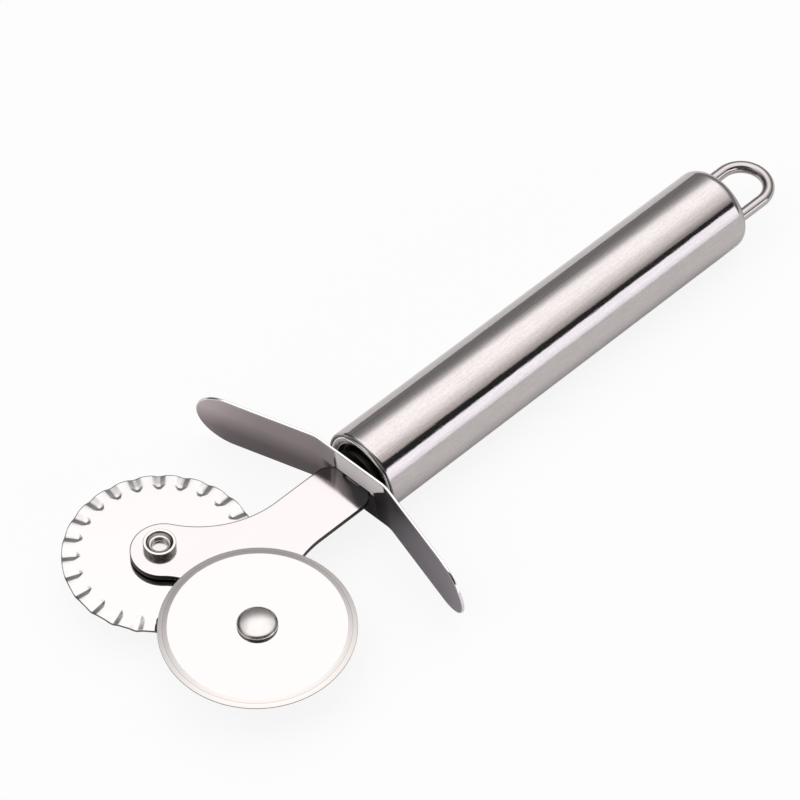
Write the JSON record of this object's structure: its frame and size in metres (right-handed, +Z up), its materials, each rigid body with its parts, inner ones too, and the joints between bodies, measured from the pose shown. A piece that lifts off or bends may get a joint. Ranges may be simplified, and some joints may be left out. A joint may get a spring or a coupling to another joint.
{
  "type": "double pizza wheel",
  "caption": "Hand pastry cutter: tubular steel handle with a hanging loop, a bent finger guard and a forked arm that carries a plain cutting wheel beside a fluted crimping wheel.",
  "frame": {"origin": "middle of the overall length and of the handle's width, on the surface that the tool lies on", "axes": "+X along the handle from the wheels to the hanging loop, +Z up, square to the wheels' faces"},
  "size_m": [0.2114, 0.0865, 0.022],
  "materials": {
    "handle_steel": "polished along the tube, with fine lengthwise brush lines",
    "wire_steel": "drawn wire, polished",
    "ring_steel": "pressed and polished",
    "dark_steel": "unpolished, dull",
    "sheet_steel": "mirror-polished sheet",
    "wheel_steel": "polished disc with a ground edge",
    "rivet_steel": "turned and tumbled",
    "washer_steel": "plain stamped",
    "weld_steel": "as welded"
  },
  "bodies": {
    "tool": {"handle_tube": "handle_steel", "rear_cap": "handle_steel", "hanging_loop": "wire_steel", "loop_welds": "weld_steel", "front_ring": "ring_steel", "front_cap": "dark_steel", "guard_spacer": "dark_steel", "finger_guard": "sheet_steel", "arm": "sheet_steel", "tang_welds": "weld_steel", "plain_rivet": "rivet_steel", "plain_collar": "rivet_steel", "plain_washer": "washer_steel", "plain_head_washer": "washer_steel", "fluted_rivet": "rivet_steel", "fluted_collar": "rivet_steel", "fluted_washer": "washer_steel", "fluted_head_washer": "washer_steel"},
    "plain_disc": {"plain_wheel": "wheel_steel"},
    "fluted_disc": {"fluted_wheel": "wheel_steel"}
  },
  "joints": [
    {"name": "plain_wheel_spin", "type": "hinge", "parent": "tool", "child": "plain_disc", "pos_m": [-0.0826, -0.0167, 0.0112], "axis": [0, 0, 1], "continuous": true},
    {"name": "fluted_wheel_spin", "type": "hinge", "parent": "tool", "child": "fluted_disc", "pos_m": [-0.0826, 0.0167, 0.0097], "axis": [0, 0, 1], "continuous": true}
  ]
}
